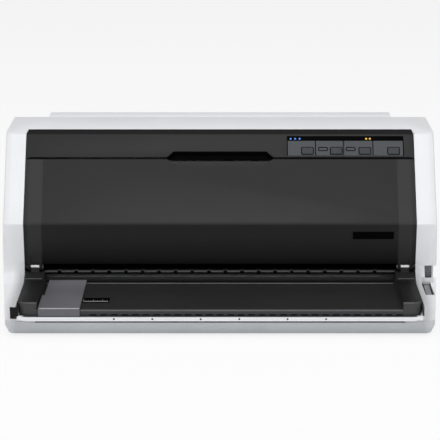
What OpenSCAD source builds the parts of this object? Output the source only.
// Flatbed dot matrix printer. Millimetres. Origin at the bottom centre,
// front towards -Y, up is +Z.

/* [Case] */
// Overall width of the upper housing
case_w = 480; // [470:1:520]
// Overall depth, front lip to rear wall
case_d = 370; // [364:1:390]
// Height of the flat top
case_h = 188; // [186:1:196]
// Wall of the plastic housings
wall = 2.5; // [2:0.1:3]
// How much narrower each side is at the front lip
front_taper = 10.4; // [4:0.1:12]
// Radius of the housing's upright corners
corner_r = 12; // [8:1:16]
// Height at which upper and lower cases meet
parting_z = 18.2; // [17:0.1:19]
// Height of the white side ledges
ledge_z = 34.5; // [33:0.5:36]
// Radius between a tower's front and its ledge
ledge_fillet = 20; // [12:1:24]
// Top of the white lip below the tray
lip_top_z = 23.9; // [22:0.1:24]
// Distance of the front crease behind the front lip
crease_back = 92; // [90:1:95]
// Height of the front crease
crease_z = 99.5; // [96:0.5:104]
// Run of the sloped front per unit of height
front_slope = 0.655; // [0.6:0.005:0.7]
// Depth of the flat top at the sides
top_flat_d = 87; // [80:1:95]
// Width of each white tower beside the black front bay
tower_w = 23.3; // [21:0.1:26]
// Height of the rubber feet below the lower case
foot_h = 3.5; // [3:0.1:5]

/* [Fascia and cover] */
// Drop from the flat top to the gap between fascia and cover
fascia_drop = 24.2; // [22:0.1:27]
// Depth of the fascia's strip on the flat top
fascia_top_d = 22.6; // [20:0.1:26]
// Thickness of the fascia
fascia_t = 2.5; // [2:0.1:3]
// Gap round the fascia and the printer cover
bay_gap = 0.5; // [0.4:0.1:1]
// Width of the gap between fascia and cover
cover_gap = 1.2; // [0.8:0.1:2]
// Thickness of the printer cover
cover_t = 3; // [2.5:0.1:3.5]
// Height of the printer cover's lower edge
cover_low_z = 53; // [52.5:0.5:56]
// Half width of the finger well at its mouth
well_half_w = 60; // [50:1:70]
// Height of the finger well above the gap
well_h = 8; // [5:0.1:9]
// Depth of the finger well behind the fascia
well_d = 11; // [8:1:13]

/* [Cover hinge] */
// Height of the cover's hinge pins
pin_z = 49.5; // [48.5:0.5:50.5]
// Distance of the hinge pins behind the crease
pin_back = 3.5; // [3:0.5:5]
// Radius of the hinge pins
pin_r = 2.5; // [2:0.1:3]
// Radial clearance of running fits
fit_gap = 0.05; // [0.02:0.01:0.1]
// Radius of the cover's hinge lugs
lug_r = 4.5; // [4:0.1:5]
// Distance of the pin block's inner side from the arm's outer side
block_set_in = 14.7; // [14:0.1:15]
// Width of the pin block
block_w = 9.4; // [8:0.1:9.6]
// Width of each hinge lug
lug_w = 3.4; // [3:0.1:3.6]

/* [Front tray] */
// Height of the tray's top face
tray_z = 30; // [29.5:0.1:31]
// Thickness of the tray plate
tray_t = 2.5; // [2:0.1:3]
// Depth of the tray plate
tray_d = 97; // [95:1:99]
// Width of the tray's side arms
arm_w = 20.6; // [19:0.1:24]
// Gap between the arms and the towers
arm_gap = 1.7; // [0.8:0.1:2.5]
// Height of the side arms
arm_z = 39; // [37:0.5:41]
// Height of the side arms' rear ramp
arm_rear_z = 44; // [42:0.5:44.5]
// Radius of the arms' front corners in plan
arm_corner_r = 13; // [8:1:15]
// Distance of the tray's front behind the lip's front
tray_set_back = 3; // [2.8:0.1:4]

/* [Sheet guide] */
// Width of the sheet guide
guide_w = 44; // [40:1:48]
// Gap between the sheet guide and the tray's arm
guide_side_gap = 1.8; // [1:0.1:3]
// Thickness of the sheet guide
guide_t = 2.6; // [2:0.1:3]
// Running gap round the sheet guide
guide_gap = 0.3; // [0.2:0.05:0.5]
// Sideways jog in the guide's left edge
guide_jog = 2.5; // [1:0.5:3]
// Width of the scale label beside the guide
label_w = 29; // [26:1:32]

/* [Control panel] */
// Width of the control panel
panel_w = 130; // [120:1:134]
// Distance of the control panel from the bay's right side
panel_margin = 11.9; // [8:0.1:20]
// Length of the panel up the slope
panel_l = 23; // [21:0.5:23.5]
// Distance of the panel above the gap, up the slope
panel_up = 3; // [2.5:0.1:4]
// Depth of the panel's pocket
panel_t = 1.2; // [1:0.1:1.5]
// Length of the black indicator strip
strip_l = 5.4; // [4:0.1:6]
// Button width
button_w = 12.3; // [11:0.1:13]
// Button length up the slope
button_l = 7.5; // [6.5:0.1:8]
// Button travel
button_travel = 1; // [0.6:0.1:1.2]
// Distance between neighbouring buttons
button_pitch = 32; // [30:0.1:33]
// Diameter of the panel's lamps
lamp_d = 2.4; // [1.8:0.1:3]

/* [Feed rollers and gears] */
// Height of the feed rollers' axes
roller_z = 24; // [23.5:0.1:24.5]
// Radius of the feed rollers
roller_r = 9; // [8.5:0.1:9.2]
// Radius of the roller shafts
shaft_r = 4; // [3:0.5:4.5]
// Radius of the pinch rollers
pinch_r = 4.5; // [4:0.1:5]
// Gear module
gear_m = 1; // [1:0.01:1.02]
// Teeth of the roller gears
roller_teeth = 24; // [24]
// Teeth of the idler between the rollers
idler_teeth = 32; // [32]
// Teeth of the motor's pinion
pinion_teeth = 12; // [12]
// Teeth of the gear that turns with the front roller and drives the knob
drive_teeth = 32; // [32]
// Teeth of the knob's gear
knob_teeth = 16; // [16]
// Width of the gears
gear_w = 5; // [4:0.5:6]
// Radius of the thumb knob
knob_r = 14; // [12:0.5:14.5]
// Width of the thumb knob
knob_w = 7; // [6:0.5:8]

/* [Frame] */
// Distance of each side plate from the bay's side
plate_set_in = 11.7; // [11:0.1:12.5]
// Thickness of the steel side plates
plate_t = 2; // [1.5:0.1:2.5]
// Thickness of the steel base frame
base_t = 1.5; // [1:0.1:2]
// Radius of the carriage shaft
rail_r = 5; // [4:0.5:6]
// Width of the carriage
carriage_w = 60; // [50:1:70]
// Radius of the belt pulleys
pulley_r = 7; // [6:0.5:8]
// Belt width
belt_w = 4; // [3:0.5:5]
// Belt thickness
belt_t = 1; // [0.8:0.1:1.2]

/* [Rear] */
// Width of the housing beside the rear cover
rear_side_w = 39.5; // [38:0.5:44]
// How much further back the rear cover's flat top runs
rear_flat_extra = 26; // [20:1:30]
// Thickness of the rear cover
rear_t = 2.5; // [2:0.1:3]
// Radius of the rear cover's pins
rear_pin_r = 2.5; // [2:0.1:3]
// Radius of the tractor sprockets
sprocket_r = 14; // [12:0.5:16]
// Side of the square tractor shaft
square_w = 8; // [6:0.5:9]

/* [Hidden] */
$fn = 48;
e = 0.01;
front_y = -case_d / 2;
rear_y = case_d / 2;
half_w = case_w / 2;
front_half_w = half_w - front_taper;
bay_half_w = half_w - tower_w;
fascia_z = case_h - fascia_drop;
arm_half_w = bay_half_w - arm_gap;
tray_half_w = arm_half_w - arm_w;
block_in = arm_half_w - block_set_in;
panel_x = bay_half_w - panel_margin - panel_w / 2;
plate_x = bay_half_w - plate_set_in;
rear_half_w = half_w - rear_side_w;
lip_reach = 2;
deck_front_y = front_y + lip_reach;
crease_y = front_y + crease_back;
low_face_y = crease_y + 2;
top_front_y = crease_y + (case_h - crease_z) * front_slope;
side_flat_y = top_front_y + top_flat_d;
centre_flat_y = side_flat_y + rear_flat_extra;
shoulder_y = rear_y - 14;
shoulder_z = case_h - 30;
rear_wall_top = case_h - 44;
rear_opening_z = case_h - 66;
fascia_rear_y = top_front_y + fascia_top_d;
slope_angle = atan(front_slope);
pin_y = crease_y + pin_back;
lip_bottom_z = lip_top_z - 5;
slot_bottom_z = parting_z - 1.5;
floor_z = foot_h + wall;
tray_front_y = front_y + tray_set_back;
tray_rear_y = tray_front_y + tray_d;
roller_front_y = tray_rear_y + 21;
idler_y = roller_front_y + gear_m * (roller_teeth + idler_teeth) / 2;
roller_rear_y = idler_y + gear_m * (roller_teeth + idler_teeth) / 2;
feed_idler_y = roller_rear_y + gear_m * roller_teeth;
pinion_y = feed_idler_y + gear_m * (roller_teeth + pinion_teeth) / 2;
knob_back = 16;
knob_y = roller_front_y - knob_back;
knob_distance = gear_m * (drive_teeth + knob_teeth) / 2;
knob_z = roller_z + sqrt(pow(knob_distance, 2) - pow(knob_back, 2));
path_z = roller_z + roller_r;
pinch_z = path_z + 0.3 + pinch_r;
plate_out = plate_x + plate_t;
gear_x = plate_out + 0.3;
rail_y = roller_rear_y - 4;
rail_z = path_z + 34;
head_y = (roller_front_y + roller_rear_y) / 2;
belt_y = rail_y + 24;
belt_z = rail_z + 4;
pulley_x = plate_x - 22;
tractor_y = rear_y - 62;
tractor_z = 92;
tractor_back = 26;
guide_x = -tray_half_w + guide_side_gap;

switch_w = 9.2;
switch_l = 40;
switch_x = half_w - 12.6;
switch_y = crease_y - 30;
knob_shaft_r = 2.5;
lever_w = 5;
lever_x = bay_half_w + 6;
lever_y = rear_y - 55;
lever_z = case_h - 48;
lever_pin_r = 2.5;
rear_pin_y = rear_y - 9;
rear_pin_z = rear_wall_top - 6;
pulley_z = rail_z + 29;
rail_bar_z = rail_z - 5;
rail_bar_h = 16;
inlet_x = -plate_x + 55;
inlet_z = 26;
inlet_w = 28;
inlet_h = 20;
socket_x = plate_x - 145;

// Front face of the housing at a height above the crease
function face_y(z) = crease_y + (z - crease_z) * front_slope;

// Draws a side view, y to the right and z up, from x0 to x1
module along_x(x0, x1) {
    translate([x0, 0, 0])
        rotate([90, 0, 90])
            linear_extrude(x1 - x0)
                children();
}

// A bar along X
module rod(x0, x1, y, z, r) {
    translate([x0, y, z])
        rotate([0, 90, 0])
            cylinder(h = x1 - x0, r = r);
}

// A box by its lowest and highest corners
module block(a, b) {
    translate(a)
        cube(b - a);
}

// Left and right copies
module both_sides() {
    children();
    mirror([1, 0, 0])
        children();
}

// Plan of the housings, drawn in by an amount
module plan(inset) {
    r = corner_r - min(inset, corner_r - 1);
    hull()
        both_sides() {
            translate([front_half_w - inset - r, deck_front_y + inset + r])
                circle(r);
            translate([half_w - inset - r, crease_y])
                circle(r);
            translate([half_w - inset - r, rear_y - inset - r])
                circle(r);
        }
}

// Side view of the housing, with its flat top ending at flat_y
module profile(flat_y, bottom) {
    fillet_y = low_face_y - ledge_fillet;
    polygon(concat(
        [[front_y - 20, bottom], [front_y - 20, ledge_z]],
        [for (a = [-90 : 10 : 0])
            [fillet_y + ledge_fillet * cos(a), ledge_z + ledge_fillet * (1 + sin(a))]],
        [[crease_y, crease_z], [top_front_y, case_h], [flat_y, case_h], [shoulder_y, shoulder_z],
            [rear_y, rear_wall_top], [rear_y + 20, rear_wall_top - 10], [rear_y + 20, bottom]]));
}

// Strip that follows the front and top of the housing, t thick
module skin(t, depth = 0) {
    difference() {
        offset(delta = -depth)
            profile(side_flat_y, 0);
        offset(delta = -depth - t)
            profile(side_flat_y, -2 * t);
    }
}

// ---- Housings ----

boss_r = 5;
screw_x = bay_half_w + boss_r;
screw_spots = [for (x = [-screw_x, screw_x], y = [deck_front_y + 30, rear_y - 16]) [x, y]];
screw_r = 1.5;
screw_head_r = 3;
screw_head_h = 2;
screw_top = ledge_z - wall - 2;

module lower_case() {
    bevel = 8;
    draft = 3.5;
    color([0.66, 0.67, 0.69])
    difference() {
        union() {
            difference() {
                hull() {
                    translate([0, 0, foot_h])
                        linear_extrude(e)
                            plan(draft);
                    translate([0, 0, foot_h + bevel])
                        linear_extrude(parting_z - foot_h - bevel)
                            plan(0);
                }
                translate([0, 0, floor_z])
                    linear_extrude(parting_z)
                        plan(draft + wall);
            }
            for (p = screw_spots)
                translate([p[0], p[1], floor_z - 1])
                    cylinder(h = parting_z - floor_z + 1, r = boss_r);
        }
        for (p = screw_spots)
            translate([p[0], p[1], 0]) {
                cylinder(h = parting_z + 1, r = screw_r + fit_gap);
                cylinder(h = foot_h + screw_head_h, r = screw_head_r + 0.2);
            }
        block([-bay_half_w + 20, front_y - 5, slot_bottom_z], [bay_half_w - 20, deck_front_y + 1.6, parting_z + 1]);
        socket_holes();
    }
}

module case_screws() {
    color("silver")
    for (p = screw_spots)
        translate([p[0], p[1], foot_h + 0.3]) {
            cylinder(h = screw_top - foot_h - 0.3, r = screw_r);
            cylinder(h = screw_head_h - 0.3, r = screw_head_r);
        }
}

module rubber_feet() {
    color([0.08, 0.08, 0.08])
    for (x = [-1, 1], y = [deck_front_y + 40, rear_y - 40])
        translate([x * (front_half_w - 32), y, 0])
            cylinder(h = foot_h, r1 = 9, r2 = 10);
}

module bay_walls() {
    both_sides()
        along_x(bay_half_w, bay_half_w + wall)
            intersection() {
                offset(delta = -0.3)
                    profile(side_flat_y, parting_z - 1);
                translate([deck_front_y + 1, parting_z + 8])
                    square([fascia_rear_y + 6 - deck_front_y, case_h]);
            }
}

// Side walls of the rear cover's opening, which hold its pins
module rear_walls() {
    both_sides()
        along_x(rear_half_w, rear_half_w + wall)
            intersection() {
                offset(delta = -0.3)
                    profile(side_flat_y, parting_z - 1);
                translate([side_flat_y - 3, rear_opening_z - 6])
                    square([rear_y - side_flat_y + 2, case_h]);
            }
}

module knob_recess() {
    // open slot for the knob in the tower's front and side
    block([half_w - 13.2, crease_y - 5, knob_z - 11], [half_w + 5, knob_y + knob_r + 1, knob_z + 9]);
    rod(knob_x - 0.7, knob_x + knob_w + 0.7, knob_y, knob_z, knob_r + 0.6);
}

module switch_trough() {
    // trough on the ledge that holds the power switch
    block([switch_x - switch_w / 2 - 0.3, switch_y - switch_l / 2 - 0.3, ledge_z - 15],
        [switch_x + switch_w / 2 + 0.3, switch_y + switch_l / 2 + 0.3, ledge_z + 20]);
}

module upper_case() {
    vent_n = 14;
    vent_pitch = 7;
    vent_z = 60;
    color([0.93, 0.93, 0.94])
    difference() {
        union() {
            difference() {
                intersection() {
                    translate([0, 0, parting_z])
                        linear_extrude(case_h)
                            plan(0);
                    along_x(-half_w - 5, half_w + 5)
                        profile(side_flat_y, 0);
                }
                intersection() {
                    translate([0, 0, -1])
                        linear_extrude(case_h)
                            plan(wall);
                    along_x(-half_w - 5, half_w + 5)
                        offset(delta = -wall)
                            profile(side_flat_y, -10);
                }
                block([-bay_half_w, front_y - 10, lip_top_z], [bay_half_w, fascia_rear_y, case_h + 10]);
                block([-rear_half_w, side_flat_y, rear_opening_z], [rear_half_w, rear_y + 10, case_h + 10]);
                block([-bay_half_w, front_y - 10, parting_z - 1], [bay_half_w, deck_front_y + 8, lip_bottom_z]);
            }
            bay_walls();
            rear_walls();
            // rounded white lip round the tray
            translate([0, 0, lip_bottom_z])
                linear_extrude(lip_top_z - lip_bottom_z)
                    difference() {
                        hull()
                            both_sides() {
                                translate([bay_half_w - arm_corner_r, front_y + arm_corner_r])
                                    circle(arm_corner_r);
                                translate([bay_half_w - 1, deck_front_y + 20])
                                    circle(1);
                            }
                        translate([-bay_half_w + 3, front_y + 5])
                            square([2 * bay_half_w - 6, 40]);
                    }
            for (p = screw_spots)
                intersection() {
                    block([p[0] - boss_r, p[1] - boss_r, parting_z], [p[0] + boss_r, rear_y - 1, ledge_z - 1]);
                    block([-half_w, p[1] - boss_r, 0], [half_w, p[1] + (p[1] > 0 ? 3 : 1) * boss_r, ledge_z]);
                }
            // stud of the release lever
            rod(lever_x - 1, half_w - wall + 0.5, lever_y, lever_z, lever_pin_r);
            rod(lever_x + lever_w + 0.4, half_w - wall + 0.5, lever_y, lever_z, lever_pin_r + 2);
        }
        for (p = screw_spots)
            translate([p[0], p[1], 0])
                cylinder(h = screw_top + 0.5, r = screw_r + fit_gap);
        knob_recess();
        switch_trough();
        // vents in the rear wall, sockets and mains inlet
        for (i = [0 : vent_n - 1])
            block([inlet_x + i * vent_pitch, rear_y - 6, vent_z], [inlet_x + i * vent_pitch + 3, rear_y + 6, vent_z + 32]);
        inlet_hole();
        socket_holes();
        // lever slot in the right shoulder
        block([lever_x - 0.5, lever_y - 18, lever_z + 10], [lever_x + lever_w + 0.5, lever_y + 18, case_h]);
        // shaft holes in the right bay wall
        rod(bay_half_w - 5, bay_half_w + wall + 1, roller_front_y, roller_z, shaft_r + 1);
        rod(bay_half_w - 5, bay_half_w + wall + 0.5, knob_y, knob_z, knob_shaft_r + fit_gap);
        // seats of the rear cover's pins
        both_sides()
            rod(rear_half_w - 5, rear_half_w + 6, rear_pin_y, rear_pin_z, rear_pin_r);
    }
}

// ---- Fascia and cover ----

bay_w = bay_half_w - bay_gap;
fascia_low_z = fascia_z + cover_gap / 2;
cover_top_z = fascia_z - cover_gap / 2;
well_slant = 8;
scoop_l = 7;
scoop_t = 1;
flange_w = 1.2;
board_t = 1.5;
button_depth = 6;
button_up = panel_up + 5.5;
button_x = panel_x - 1.32 * button_pitch;

// Puts its children on the sloped front: x across, y up the slope, z outwards
module on_slope(z0) {
    translate([0, face_y(z0), z0])
        rotate([90 - slope_angle, 0, 0])
            children();
}

module well_outline(grow) {
    offset(delta = grow)
        polygon([[-well_half_w, 0], [-well_half_w + well_slant, well_h], [well_half_w - well_slant, well_h],
            [well_half_w, 0], [well_half_w - 4, -3.4], [-well_half_w + 4, -3.4]]);
}

module front_fascia() {
    color([0.16, 0.16, 0.17])
    difference() {
        union() {
            along_x(-bay_w, bay_w) {
                intersection() {
                    skin(fascia_t);
                    translate([crease_y, fascia_low_z])
                        square([fascia_rear_y - crease_y, case_h]);
                }
                translate([fascia_rear_y - 4, case_h - fascia_t - wall])
                    square([4, fascia_t + wall - 1]);
                translate([fascia_rear_y - 4, case_h - fascia_t - wall])
                    square([12, fascia_t]);
            }
            on_slope(fascia_z)
                translate([0, 0, -well_d - 1.5])
                    linear_extrude(well_d + 1)
                        intersection() {
                            well_outline(1.5);
                            translate([-case_w, cover_t * tan(slope_angle)])
                                square([2 * case_w, 40]);
                        }
        }
        on_slope(fascia_z) {
            translate([0, 0, -well_d])
                linear_extrude(well_d + 5)
                    well_outline(0);
            translate([panel_x - panel_w / 2, panel_up, -panel_t])
                cube([panel_w, panel_l, 5]);
            for (i = [0 : 3])
                translate([button_x + i * button_pitch - button_w / 2 - 0.3, button_up - button_l / 2 - 0.3, -20])
                    cube([button_w + 0.6, button_l + 0.6, 40]);
        }
    }
}

module printer_cover() {
    band_in = bay_half_w - 16.7;
    band_out = bay_half_w - 4.7;
    band_t = 1.2;
    color([0.14, 0.14, 0.15, 0.9])
    difference() {
        union() {
            along_x(-bay_w, bay_w)
                intersection() {
                    skin(cover_t);
                    translate([front_y, cover_low_z])
                        square([case_d / 2, cover_top_z - cover_low_z]);
                }
            both_sides() {
                along_x(band_in, band_out)
                    intersection() {
                        skin(band_t + 0.5, cover_t - 0.5);
                        translate([front_y, cover_low_z + 14])
                            square([case_d / 2, cover_top_z - cover_low_z - 22]);
                    }
                cover_lug(block_in - guide_gap - lug_w);
                cover_lug(block_in + block_w + guide_gap);
            }
        }
        both_sides()
            rod(block_in - 20, bay_half_w + 5, pin_y, pin_z, pin_r + fit_gap);
        on_slope(fascia_z) {
            translate([0, 0, -10])
                linear_extrude(20)
                    well_outline(0);
            translate([0, 0, -scoop_t])
                linear_extrude(5)
                    polygon([[-well_half_w + 4, -3.3], [well_half_w - 4, -3.3], [well_half_w - 11, -3.4 - scoop_l],
                        [-well_half_w + 11, -3.4 - scoop_l]]);
        }
    }
}

// One hinge lug of the printer cover, starting at x
module cover_lug(x) {
    along_x(x, x + lug_w)
        hull() {
            translate([pin_y, pin_z])
                circle(lug_r);
            translate([low_face_y + 0.5, cover_low_z + 4])
                square([cover_t - 1, 12]);
        }
}

module cover_pins() {
    color("silver")
    both_sides()
        rod(block_in - 2 * guide_gap - lug_w, bay_half_w, pin_y, pin_z, pin_r);
}

// ---- Front tray and paper entry ----

arm_low_z = lip_top_z + guide_gap;

module front_tray() {
    arm_front_y = tray_front_y;
    color([0.15, 0.15, 0.15])
    difference() {
        union() {
            block([-tray_half_w - 1, tray_front_y, tray_z - tray_t], [tray_half_w + 1, tray_rear_y, tray_z]);
            block([-tray_half_w - 1, tray_front_y, arm_low_z], [tray_half_w + 1, tray_front_y + tray_t, tray_z]);
            both_sides() {
                intersection() {
                    along_x(tray_half_w, arm_half_w)
                        polygon([[arm_front_y, arm_low_z], [arm_front_y, arm_z - 1.5],
                            [arm_front_y + 1.5, arm_z], [crease_y - 10, arm_z], [crease_y, arm_rear_z],
                            [tray_rear_y, arm_rear_z], [tray_rear_y, arm_low_z]]);
                    linear_extrude(100)
                        hull() {
                            translate([arm_half_w - arm_corner_r, arm_front_y + arm_corner_r])
                                circle(arm_corner_r);
                            translate([tray_half_w - 10, arm_front_y])
                                square([5, tray_d + 1]);
                            translate([tray_half_w, tray_rear_y - 5])
                                square([arm_half_w - tray_half_w, 5.5]);
                        }
                }
                along_x(block_in, block_in + block_w)
                    polygon([[pin_y - pin_r - 0.7, arm_rear_z - 5], [pin_y - pin_r - 0.7, pin_z - 0.8],
                        [tray_rear_y, pin_z - 0.8], [tray_rear_y, arm_rear_z - 5]]);
            }
        }
        both_sides()
            rod(block_in - 20, bay_half_w + 5, pin_y, pin_z, pin_r + fit_gap);
        // hollow underside of the arms
        both_sides()
            block([tray_half_w + tray_t, tray_front_y + arm_corner_r, 0], [arm_half_w - tray_t, tray_rear_y - tray_t, arm_z - tray_t]);
    }
}

module sheet_guide() {
    top = tray_z + guide_gap + guide_t;
    front = tray_front_y - guide_gap - guide_t + 0.2;
    jog_y = tray_front_y + 0.42 * tray_d;
    color([0.36, 0.36, 0.38]) {
        translate([0, 0, tray_z + guide_gap])
            linear_extrude(guide_t)
                polygon([[guide_x, front], [guide_x, jog_y], [guide_x + guide_jog, jog_y + guide_jog],
                    [guide_x + guide_jog, tray_rear_y - 1], [guide_x + guide_w, tray_rear_y - 1],
                    [guide_x + guide_w, front]]);
        block([guide_x, front, arm_low_z], [guide_x + guide_w, tray_front_y - guide_gap, top - 1]);
        block([guide_x, front, top - 1], [guide_x + 1.5, jog_y, top + 1]);
    }
}

label_front = 25;
label_l = 16.5;
label_t = 0.12;

module scale_label() {
    color([0.03, 0.03, 0.03])
    block([guide_x + guide_w + 0.6, tray_front_y + label_front, tray_z],
        [guide_x + guide_w + 0.6 + label_w, tray_front_y + label_front + label_l, tray_z + label_t]);
}

entry_rear_y = roller_front_y - roller_r - 1;

module paper_entry_plate() {
    low = tray_z - 4;
    color([0.13, 0.13, 0.13])
    along_x(-plate_x, plate_x)
        polygon([[tray_rear_y, low], [tray_rear_y, tray_z], [tray_rear_y + 3, tray_z + 1.6],
            [tray_rear_y + 6, tray_z + 1.6], [tray_rear_y + 7, path_z - 0.6], [entry_rear_y, path_z - 0.6],
            [entry_rear_y, low]]);
}

bar_z = 41;
bar_y = tray_rear_y + 2;

module front_guide_bar() {
    notch_pitch = 18.5;
    notch_w = 4;
    bar_end = plate_x - 24;
    color("silver")
    difference() {
        along_x(-plate_x, plate_x)
            polygon([[bar_y, bar_z], [bar_y + 1, bar_z - 1.4], [bar_y + 10, bar_z + 8], [bar_y + 9, bar_z + 9]]);
        for (x = [-bar_end : notch_pitch : bar_end])
            block([x, bar_y - 2, bar_z - 3], [x + notch_w, bar_y + 3, bar_z + 3]);
    }
}

// ---- Control panel ----

module panel_frame() {
    rim = 1;
    cell_gap = 0.8;
    color([0.2, 0.2, 0.21])
    on_slope(fascia_z)
        difference() {
            translate([panel_x - panel_w / 2, panel_up, -panel_t])
                cube([panel_w, panel_l, panel_t + 0.2]);
            for (i = [0 : 3])
                translate([button_x + i * button_pitch - button_w / 2 - 0.3, button_up - button_l / 2 - 0.3, -20])
                    cube([button_w + 0.6, button_l + 0.6, 40]);
            for (i = [1 : 3])
                translate([button_x + (i - 0.72) * button_pitch, panel_up + rim, -0.3])
                    cube([cell_gap, panel_l - strip_l - rim, 2]);
            translate([panel_x - panel_w / 2 + rim, panel_up + panel_l - strip_l, -0.4])
                cube([panel_w - 2 * rim, strip_l - rim, 2]);
            for (x = lamp_x)
                translate([x, panel_up + panel_l - strip_l / 2 - rim / 2, -5])
                    cylinder(h = 10, r = lamp_d / 2 + fit_gap);
        }
}

lamp_pitch = 5.1;
lamp_x = concat([for (i = [0 : 2]) panel_x - panel_w / 2 + 4 + i * lamp_pitch],
    [for (i = [0 : 1]) panel_x + 23.5 + i * 4]);

module panel_lamps() {
    color([0.2, 0.4, 0.9])
    on_slope(fascia_z)
        for (x = lamp_x)
            translate([x, panel_up + panel_l - strip_l / 2 - 0.5, -panel_t])
                cylinder(h = panel_t + 0.3, r = lamp_d / 2);
}

module panel_board() {
    color([0.1, 0.35, 0.2])
    on_slope(fascia_z) {
        translate([panel_x - panel_w / 2 + 2, panel_up, -button_depth - board_t - button_travel - 0.3])
            cube([panel_w - 4, panel_l - 6, board_t]);
        for (x = [-1, 1])
            translate([panel_x + x * (panel_w / 2 - 6), panel_up + panel_l - 9, -button_depth - button_travel - 0.3 - e])
                cylinder(h = button_depth + button_travel + 0.3 + e - fascia_t, r = 2.5);
    }
}

module panel_button(i) {
    color([0.2, 0.2, 0.21])
    on_slope(fascia_z)
        translate([button_x + i * button_pitch, button_up, 0]) {
            translate([-button_w / 2, -button_l / 2, -button_depth])
                cube([button_w, button_l, button_depth + 1.2]);
            translate([-button_w / 2 - flange_w, -button_l / 2 - flange_w, -button_depth])
                cube([button_w + 2 * flange_w, button_l + 2 * flange_w, button_depth - fascia_t - 0.3]);
        }
}

// ---- Power switch and thumb knob ----

rocker_r = 1.2;
rocker_w = 6;
rocker_l = 33;
rocker_z = ledge_z - 4.5;
rocker_tilt = 4;

module switch_body() {
    color([0.12, 0.12, 0.12])
    difference() {
        block([switch_x - switch_w / 2, switch_y - switch_l / 2, rocker_z - 8],
            [switch_x + switch_w / 2, switch_y + switch_l / 2, ledge_z - 2.5]);
        block([switch_x - rocker_w / 2 - 0.3, switch_y - rocker_l / 2 - 1, rocker_z - 6],
            [switch_x + rocker_w / 2 + 0.3, switch_y + rocker_l / 2 + 1, ledge_z]);
        rod(switch_x - rocker_w / 2 - 1.2, switch_x + rocker_w / 2 + 1.2, switch_y, rocker_z, rocker_r + fit_gap);
    }
    color([0.12, 0.12, 0.12])
        both_feet();
}

// Two feet that carry the switch on the lower case
module both_feet() {
    for (y = [-1, 1])
        translate([switch_x - 2.4, switch_y + y * switch_l / 3, floor_z])
            cylinder(h = rocker_z - 8 - floor_z + e, r = 2);
}

module power_rocker() {
    color([0.45, 0.45, 0.47])
    difference() {
        union() {
            translate([0, switch_y, rocker_z])
                rotate([rocker_tilt, 0, 0])
                    along_x(switch_x - rocker_w / 2, switch_x + rocker_w / 2)
                        polygon([[-rocker_l / 2, -1], [-rocker_l / 2, 3.2], [0, 2], [rocker_l / 2, 3.2],
                            [rocker_l / 2, -1], [4, -2.5], [-4, -2.5]]);
            rod(switch_x - rocker_w / 2 - 1, switch_x + rocker_w / 2 + 1, switch_y, rocker_z, rocker_r);
        }
    }
}

// Toothed wheel along X with a tooth at angle turn from +Y towards +Z
module gear(teeth, x0, width, y, z, turn, bore) {
    r = gear_m * teeth / 2;
    step = 360 / teeth;
    tip = r + 0.8 * gear_m;
    root = r - 1.15 * gear_m;
    tip_half = 0.3 * gear_m;
    root_half = 0.78 * gear_m;
    translate([x0, y, z])
        rotate([90, 0, 90])
            rotate([0, 0, turn])
                linear_extrude(width)
                    difference() {
                        union() {
                            circle(root);
                            for (i = [0 : teeth - 1])
                                rotate([0, 0, i * step])
                                    polygon([[root - 0.6, -root_half], [tip, -tip_half], [tip, tip_half],
                                        [root - 0.6, root_half]]);
                        }
                        if (bore > 0)
                            circle(bore);
                    }
}

knob_angle = 180 - atan2(knob_z - roller_z, knob_back);
knob_gear_x = bay_half_w + wall + 0.8;

module knob_gear() {
    color([0.85, 0.85, 0.82]) {
        gear(knob_teeth, knob_gear_x, gear_w, knob_y, knob_z, knob_angle + 180 + 180 / knob_teeth, 0);
        rod(bay_half_w - 1, knob_x + knob_w - 1, knob_y, knob_z, knob_shaft_r);
    }
}

knob_x = half_w - 12.5;

module thumb_knob() {
    ribs = 36;
    color([0.35, 0.35, 0.37])
    difference() {
        union() {
            rod(knob_x, knob_x + knob_w, knob_y, knob_z, knob_r - 0.7);
            translate([knob_x, knob_y, knob_z])
                rotate([90, 0, 90])
                    linear_extrude(knob_w)
                        for (i = [0 : ribs - 1])
                            rotate([0, 0, i * 360 / ribs])
                                translate([knob_r - 1.5, -0.6])
                                    square([1.5, 1.2]);
        }
        rod(knob_x - 1, knob_x + knob_w - 1, knob_y, knob_z, knob_shaft_r);
    }
}

// ---- Paper feed ----

module front_feed_roller() {
    color([0.2, 0.2, 0.2]) {
        rod(-plate_x + 2, plate_x - 2, roller_front_y, roller_z, roller_r);
        rod(-gear_x - gear_w, knob_gear_x + gear_w, roller_front_y, roller_z, shaft_r);
    }
}

module front_roller_gears() {
    color([0.85, 0.85, 0.82]) {
        gear(roller_teeth, -gear_x - gear_w, gear_w, roller_front_y, roller_z, 0, shaft_r);
        gear(drive_teeth, knob_gear_x, gear_w, roller_front_y, roller_z, knob_angle, shaft_r);
    }
}

module rear_feed_roller() {
    color([0.2, 0.2, 0.2]) {
        rod(-plate_x + 2, plate_x - 2, roller_rear_y, roller_z, roller_r);
        rod(-gear_x - gear_w, plate_out + 2, roller_rear_y, roller_z, shaft_r);
    }
}

module rear_roller_gear() {
    color([0.85, 0.85, 0.82])
    gear(roller_teeth, -gear_x - gear_w, gear_w, roller_rear_y, roller_z, 0, shaft_r);
}

stud_r = 3;

module idler_gear() {
    color([0.85, 0.85, 0.82])
    gear(idler_teeth, -gear_x - gear_w, gear_w, idler_y, roller_z, 180 / idler_teeth, stud_r + fit_gap);
}

module feed_idler() {
    color([0.85, 0.85, 0.82])
    gear(roller_teeth, -gear_x - gear_w, gear_w, feed_idler_y, roller_z, 180 / roller_teeth, stud_r + fit_gap);
}

motor_r = 16;
motor_l = 38;
motor_shaft_r = 2.5;

module feed_motor() {
    color([0.3, 0.3, 0.32])
    difference() {
        rod(-plate_x, -plate_x + motor_l, pinion_y, roller_z, motor_r);
        rod(-plate_x - 1, -plate_x + 12, pinion_y, roller_z, motor_shaft_r + fit_gap);
    }
}

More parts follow.
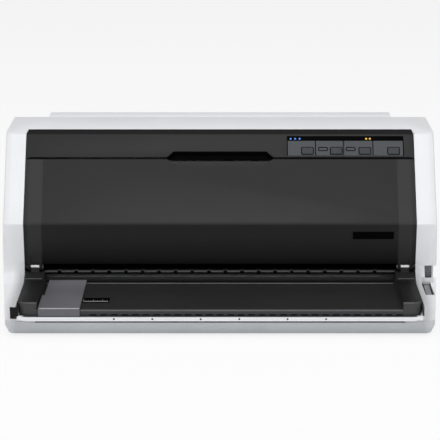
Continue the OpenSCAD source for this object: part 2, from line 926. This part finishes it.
module motor_pinion() {
    color([0.8, 0.7, 0.4]) {
        gear(pinion_teeth, -gear_x - gear_w, gear_w, pinion_y, roller_z, 0, 0);
        rod(-gear_x - gear_w, -plate_x + 11, pinion_y, roller_z, motor_shaft_r);
    }
}

pinch_shaft_r = 2;

module pinch_roller(y) {
    n = 6;
    pitch = 2 * (plate_x - 30) / n;
    roller_l = pitch * 0.5;
    color([0.12, 0.12, 0.12])
    rotate_at(y) {
        cylinder(h = 2 * plate_out, r = pinch_shaft_r, center = true);
        for (i = [0 : n - 1])
            translate([0, 0, (i - (n - 1) / 2) * pitch - roller_l / 2])
                cylinder(h = roller_l, r = pinch_r);
    }
}

// Puts a Z-wise piece along X at a pinch roller's axis
module rotate_at(y) {
    translate([0, y, pinch_z])
        rotate([0, 90, 0])
            children();
}

module front_pinch_roller() {
    pinch_roller(roller_front_y);
}

module rear_pinch_roller() {
    pinch_roller(roller_rear_y);
}

module platen() {
    color("dimgray")
    block([-plate_x, roller_front_y + roller_r + 2, path_z - 12], [plate_x, roller_rear_y - roller_r - 2, path_z - 0.5]);
}

// ---- Frame ----

plate_low_z = floor_z + base_t;
plate_rear_y = tractor_y + tractor_back + 12;

module side_plates() {
    color([0.7, 0.72, 0.74]) {
        difference() {
            both_sides()
                along_x(plate_x, plate_out)
                    polygon([[tray_rear_y + 0.4, plate_low_z], [tray_rear_y + 0.4, bar_z + 12],
                        [roller_front_y, pulley_z + 12], [plate_rear_y, pulley_z + 12],
                        [plate_rear_y, plate_low_z]]);
            for (y = [roller_front_y, roller_rear_y]) {
                rod(-plate_out - 1, plate_out + 1, y, roller_z, shaft_r + fit_gap);
                rod(-plate_out - 1, plate_out + 1, y, pinch_z, pinch_shaft_r + fit_gap);
            }
            rod(-plate_out - 1, 0, pinion_y, roller_z, motor_shaft_r + 1);
            rod(-plate_out - 1, plate_out + 1, tractor_y, tractor_z, square_w / 2 + fit_gap);
        }
        for (y = [idler_y, feed_idler_y])
            rod(-gear_x - gear_w - 1, -plate_x - 1, y, roller_z, stud_r);
    }
}

board_y = pinion_y + 6;
board_l = 110;
board_x1 = plate_x - 15;
board_x0 = board_x1 - 250;
board_z = 16;
support_r = 3;

module base_frame() {
    color([0.7, 0.72, 0.74]) {
        block([-plate_out, tray_rear_y + 1, floor_z], [plate_out, plate_rear_y, floor_z + base_t]);
        for (x = [board_x0 + 8, board_x1 - 8], y = [board_y + 8, board_y + board_l - 8])
            translate([x, y, floor_z])
                cylinder(h = board_z - floor_z, r = support_r);
        for (x = [-1, 1])
            block([x * 120 - 15, roller_front_y + roller_r + 6, floor_z], [x * 120 + 15, roller_rear_y - roller_r - 6, path_z - 12]);
    }
}

module circuit_board() {
    color([0.1, 0.35, 0.2])
    block([board_x0, board_y, board_z], [board_x1, board_y + board_l, board_z + 1.6]);
    color([0.05, 0.05, 0.05])
    for (x = [0, 60, 120])
        block([board_x0 + 30 + x, board_y + 30, board_z + 1.6 - e], [board_x0 + 55 + x, board_y + 55, board_z + 4]);
}

supply_x0 = -plate_x + 15;
supply_w = 110;
supply_y = pinion_y + motor_r + 12;
supply_h = 48;

module power_supply() {
    color([0.75, 0.76, 0.78])
    difference() {
        block([supply_x0, supply_y, plate_low_z], [supply_x0 + supply_w, plate_rear_y, plate_low_z + supply_h]);
        block([supply_x0 + base_t, supply_y + base_t, plate_low_z + base_t],
            [supply_x0 + supply_w - base_t, plate_rear_y - base_t, plate_low_z + supply_h - base_t]);
        for (i = [0 : 9])
            block([supply_x0 + 12 + i * 9, supply_y + 15, plate_low_z + supply_h - 5],
                [supply_x0 + 16 + i * 9, plate_rear_y - 15, plate_low_z + supply_h + 5]);
    }
}

module inlet_hole() {
    block([inlet_x - inlet_w / 2, rear_y - 6, inlet_z], [inlet_x + inlet_w / 2, rear_y + 6, inlet_z + inlet_h]);
}

module mains_inlet() {
    color([0.05, 0.05, 0.05])
    difference() {
        block([inlet_x - inlet_w / 2, plate_rear_y + 0.3, inlet_z], [inlet_x + inlet_w / 2, rear_y, inlet_z + inlet_h]);
        block([inlet_x - inlet_w / 2 + 2, rear_y - 18, inlet_z + 2],
            [inlet_x + inlet_w / 2 - 2, rear_y + 1, inlet_z + inlet_h - 2]);
    }
    color("silver")
    for (x = [-7, 0, 7])
        block([inlet_x + x - 1, rear_y - 18 - e, inlet_z + inlet_h / 2 - 2], [inlet_x + x + 1, rear_y - 4, inlet_z + inlet_h / 2 + 2]);
}

sockets = [[0, 52], [66, 16], [94, 20]];
socket_h = 13;
socket_z = board_z + 1.6;

module socket_holes() {
    for (s = sockets)
        block([socket_x + s[0], rear_y - 6, socket_z], [socket_x + s[0] + s[1], rear_y + 6, socket_z + socket_h]);
}

module data_sockets() {
    color([0.6, 0.6, 0.62])
    for (s = sockets)
        difference() {
            block([socket_x + s[0], board_y + board_l - 12, socket_z],
                [socket_x + s[0] + s[1], rear_y, socket_z + socket_h]);
            block([socket_x + s[0] + 1.5, rear_y - 12, socket_z + 1.5],
                [socket_x + s[0] + s[1] - 1.5, rear_y + 1, socket_z + socket_h - 1.5]);
        }
}

// ---- Carriage ----

shelf_z = rail_z - 12;
head_front_y = head_y - 18;
cart_h = 12;
cart_w = 96;
rail_bar_y = rail_y + 30;
clamp_w = 16;

module carriage_shaft() {
    color("silver")
    rod(-plate_x, plate_x, rail_y, rail_z, rail_r);
}

module guide_rail() {
    color([0.7, 0.72, 0.74])
    block([-plate_x, rail_bar_y, rail_bar_z], [plate_x, rail_bar_y + 2, rail_bar_z + rail_bar_h]);
}

module carriage() {
    wing_z = rail_bar_z + rail_bar_h;
    color([0.18, 0.18, 0.18])
    difference() {
        union() {
            block([-carriage_w / 2, head_front_y - 2, shelf_z], [carriage_w / 2, rail_y + 2, shelf_z + 3]);
            block([-carriage_w / 2, rail_y - 8, shelf_z], [carriage_w / 2, rail_y + 8, rail_z + 9]);
            block([-carriage_w / 2, rail_y + 4, wing_z - 8], [carriage_w / 2, rail_bar_y + 5, wing_z + 4]);
            block([-clamp_w / 2, belt_y - 4, wing_z], [clamp_w / 2, belt_y + belt_w + 3, pulley_z - pulley_r + 2]);
        }
        rod(-carriage_w, carriage_w, rail_y, rail_z, rail_r + fit_gap);
        block([-carriage_w, rail_bar_y - guide_gap, 0], [carriage_w, rail_bar_y + 2 + guide_gap, wing_z + guide_gap]);
        block([-carriage_w, belt_y - guide_gap, pulley_z - pulley_r - belt_t - guide_gap],
            [carriage_w, belt_y + belt_w + guide_gap, pulley_z + 20]);
        block([-head_nose_w / 2 - 1, head_y - 7, 0], [head_nose_w / 2 + 1, head_y + 7, shelf_z + 10]);
    }
}

head_nose_w = 14;

module print_head() {
    fins = 6;
    color([0.35, 0.35, 0.37]) {
        hull() {
            block([-head_nose_w / 2, head_y - 5, shelf_z - 1], [head_nose_w / 2, head_y + 5, shelf_z]);
            block([-head_nose_w / 2 + 2, head_y - 2, path_z + 1.2], [head_nose_w / 2 - 2, head_y + 2, path_z + 2]);
        }
        block([-head_nose_w / 2, head_y - 5, shelf_z - e], [head_nose_w / 2, head_y + 5, shelf_z + 3 + e]);
        block([-16, head_y - 13, shelf_z + 3], [16, head_y + 13, shelf_z + 20]);
        for (i = [0 : fins - 1])
            block([-16, head_y - 13 + i * 4.9, shelf_z + 20 - e], [16, head_y - 11.5 + i * 4.9, shelf_z + 32]);
    }
}

module ribbon_cartridge() {
    color([0.1, 0.1, 0.1])
    difference() {
        block([-cart_w / 2, head_front_y - 4, shelf_z + 3], [cart_w / 2, rail_y - 9, shelf_z + 3 + cart_h]);
        block([-17, head_y - 14, 0], [17, head_y + 14, 200]);
    }
}

module carriage_belt() {
    color([0.08, 0.08, 0.08])
    translate([0, belt_y + belt_w, pulley_z])
        rotate([90, 0, 0])
            linear_extrude(belt_w)
                difference() {
                    hull()
                        for (x = [-pulley_x, pulley_x])
                            translate([x, 0])
                                circle(pulley_r + belt_t);
                    hull()
                        for (x = [-pulley_x, pulley_x])
                            translate([x, 0])
                                circle(pulley_r + fit_gap);
                }
}

// A round piece along Y from y0 to y1 at x on the belt's height
module turned(x, y0, y1, r) {
    translate([x, y1, pulley_z])
        rotate([90, 0, 0])
            cylinder(h = y1 - y0, r = r);
}

pulley_bore = 2.5;
mount_t = 1.5;
mount_y = belt_y + belt_w + 2.5;

module pulley(x) {
    turned(x, belt_y - 0.3, belt_y + belt_w + 0.3, pulley_r);
    turned(x, belt_y - 1.3, belt_y - 0.3, pulley_r + 1.8);
    turned(x, belt_y + belt_w + 0.3, belt_y + belt_w + 1.3, pulley_r + 1.8);
}

module drive_pulley() {
    color([0.8, 0.7, 0.4]) {
        pulley(pulley_x);
        turned(pulley_x, belt_y, mount_y + 14, pulley_bore);
    }
}

module idler_pulley() {
    color([0.85, 0.85, 0.82])
    difference() {
        pulley(-pulley_x);
        turned(-pulley_x, belt_y - 5, belt_y + belt_w + 5, pulley_bore + fit_gap);
    }
}

carriage_motor_r = 13.5;

module carriage_motor() {
    color([0.3, 0.3, 0.32])
    difference() {
        turned(pulley_x, mount_y + mount_t, mount_y + mount_t + 34, carriage_motor_r);
        turned(pulley_x, mount_y, mount_y + 15, pulley_bore + fit_gap);
    }
}

module pulley_bracket() {
    color([0.7, 0.72, 0.74]) {
        difference() {
            both_sides()
                block([pulley_x - 14, mount_y, pulley_z - 11], [plate_x, mount_y + mount_t, pulley_z + 11]);
            turned(pulley_x, mount_y - 1, mount_y + mount_t + 1, pulley_bore + 2);
        }
        turned(-pulley_x, belt_y - 2, mount_y + e, pulley_bore);
    }
}

// ---- Rear ----

module rear_profile(depth) {
    offset(delta = -depth)
        intersection() {
            profile(centre_flat_y, 0);
            translate([front_y, 0])
                square([case_d, 2 * case_h]);
        }
}

rear_gap = 0.5;
rear_low_z = rear_pin_z - 5;

module rear_cover() {
    w = rear_half_w - rear_gap;
    color([0.93, 0.93, 0.94])
    difference() {
        union() {
            along_x(-w, w)
                intersection() {
                    difference() {
                        rear_profile(0);
                        rear_profile(rear_t);
                    }
                    translate([side_flat_y + rear_gap, rear_low_z])
                        square([rear_y - side_flat_y, case_h]);
                }
            both_sides()
                along_x(w - rear_t, w)
                    intersection() {
                        rear_profile(0);
                        translate([side_flat_y + rear_gap, case_h - 12 - rear_t])
                            square([rear_y - side_flat_y, case_h]);
                    }
            both_sides()
                along_x(w - 4, w)
                    intersection() {
                        rear_profile(0);
                        translate([rear_pin_y - 7, rear_low_z])
                            square([20, 30]);
                    }
        }
        both_sides()
            rod(rear_half_w - 8, rear_half_w + 6, rear_pin_y, rear_pin_z, rear_pin_r + fit_gap);
        along_x(-w - 1, w + 1)
            difference() {
                translate([rear_y - 8.9, rear_low_z - 1])
                    square([20, 8.2]);
                translate([rear_pin_y, rear_pin_z])
                    circle(rear_pin_r + 4);
            }
    }
}

module rear_cover_pins() {
    color("silver")
    both_sides()
        rod(rear_half_w - 4.2, rear_half_w + wall, rear_pin_y, rear_pin_z, rear_pin_r);
}

module tractor_shaft() {
    color("silver") {
        block([-plate_x + 0.5, tractor_y - square_w / 2, tractor_z - square_w / 2],
            [plate_x - 0.5, tractor_y + square_w / 2, tractor_z + square_w / 2]);
        rod(-plate_out - 1, plate_out + 1, tractor_y, tractor_z, square_w / 2);
    }
}

support_shaft_r = 4;

module tractor_support_shaft() {
    color("silver")
    rod(-plate_x, plate_x, tractor_y - tractor_back, tractor_z, support_shaft_r);
}

tractor_x = plate_x - 75;
tractor_w = 20;
sprocket_w = 8;

module tractor_unit(x) {
    color([0.15, 0.15, 0.16])
    difference() {
        union() {
            along_x(x - tractor_w / 2, x + tractor_w / 2)
                hull() {
                    translate([tractor_y, tractor_z])
                        circle(sprocket_r + 3);
                    translate([tractor_y - tractor_back, tractor_z])
                        circle(9);
                }
        }
        rod(x - 20, x + 20, tractor_y - tractor_back, tractor_z, support_shaft_r + fit_gap);
        rod(x - sprocket_w / 2 - 0.5, x + sprocket_w / 2 + 0.5, tractor_y, tractor_z, sprocket_r + 1);
        rod(x - 20, x + 20, tractor_y, tractor_z, square_w * 0.75 + fit_gap);
        block([x - sprocket_w / 2 - 0.5, tractor_y - 12, tractor_z + 6], [x + sprocket_w / 2 + 0.5, tractor_y + 12, tractor_z + 30]);
    }
}

module left_tractor() {
    tractor_unit(-tractor_x);
}

module right_tractor() {
    tractor_unit(tractor_x);
}

module sprocket(x) {
    pins = 8;
    color([0.85, 0.85, 0.82])
    difference() {
        union() {
            rod(x - sprocket_w / 2, x + sprocket_w / 2, tractor_y, tractor_z, sprocket_r - 2);
            rod(x - tractor_w / 2 - 0.5, x + tractor_w / 2 + 0.5, tractor_y, tractor_z, square_w * 0.75);
            for (i = [0 : pins - 1])
                translate([x, tractor_y, tractor_z])
                    rotate([i * 360 / pins, 0, 0])
                        translate([0, 0, sprocket_r - 3])
                            cylinder(h = 3, r = 1.6);
        }
        block([x - 20, tractor_y - square_w / 2 - 0.1, tractor_z - square_w / 2 - 0.1],
            [x + 20, tractor_y + square_w / 2 + 0.1, tractor_z + square_w / 2 + 0.1]);
    }
}

module left_sprocket() {
    sprocket(-tractor_x);
}

module right_sprocket() {
    sprocket(tractor_x);
}

module release_lever() {
    reach = 30;
    color([0.2, 0.2, 0.2])
    difference() {
        along_x(lever_x, lever_x + lever_w)
            union() {
                translate([lever_y, lever_z])
                    circle(lever_pin_r + 2.5);
                translate([lever_y - 2, lever_z])
                    square([4, reach]);
            }
        rod(lever_x - 5, lever_x + lever_w + 5, lever_y, lever_z, lever_pin_r + fit_gap);
    }
}

lower_case();
upper_case();
front_fascia();
printer_cover();
cover_pins();
front_tray();
sheet_guide();
scale_label();
paper_entry_plate();
front_guide_bar();
panel_frame();
panel_board();
panel_lamps();
panel_button(0);  // button_1
panel_button(1);  // button_2
panel_button(2);  // button_3
panel_button(3);  // button_4
power_rocker();
switch_body();
thumb_knob();
knob_gear();
front_feed_roller();
front_roller_gears();
rear_feed_roller();
rear_roller_gear();
front_pinch_roller();
rear_pinch_roller();
idler_gear();
feed_idler();
feed_motor();
motor_pinion();
platen();
side_plates();
base_frame();
carriage_shaft();
guide_rail();
carriage();
print_head();
ribbon_cartridge();
carriage_belt();
drive_pulley();
idler_pulley();
carriage_motor();
circuit_board();
power_supply();
mains_inlet();
data_sockets();
rear_cover();
rear_cover_pins();
tractor_shaft();
tractor_support_shaft();
left_tractor();
right_tractor();
left_sprocket();
right_sprocket();
release_lever();
rubber_feet();
case_screws();
pulley_bracket();
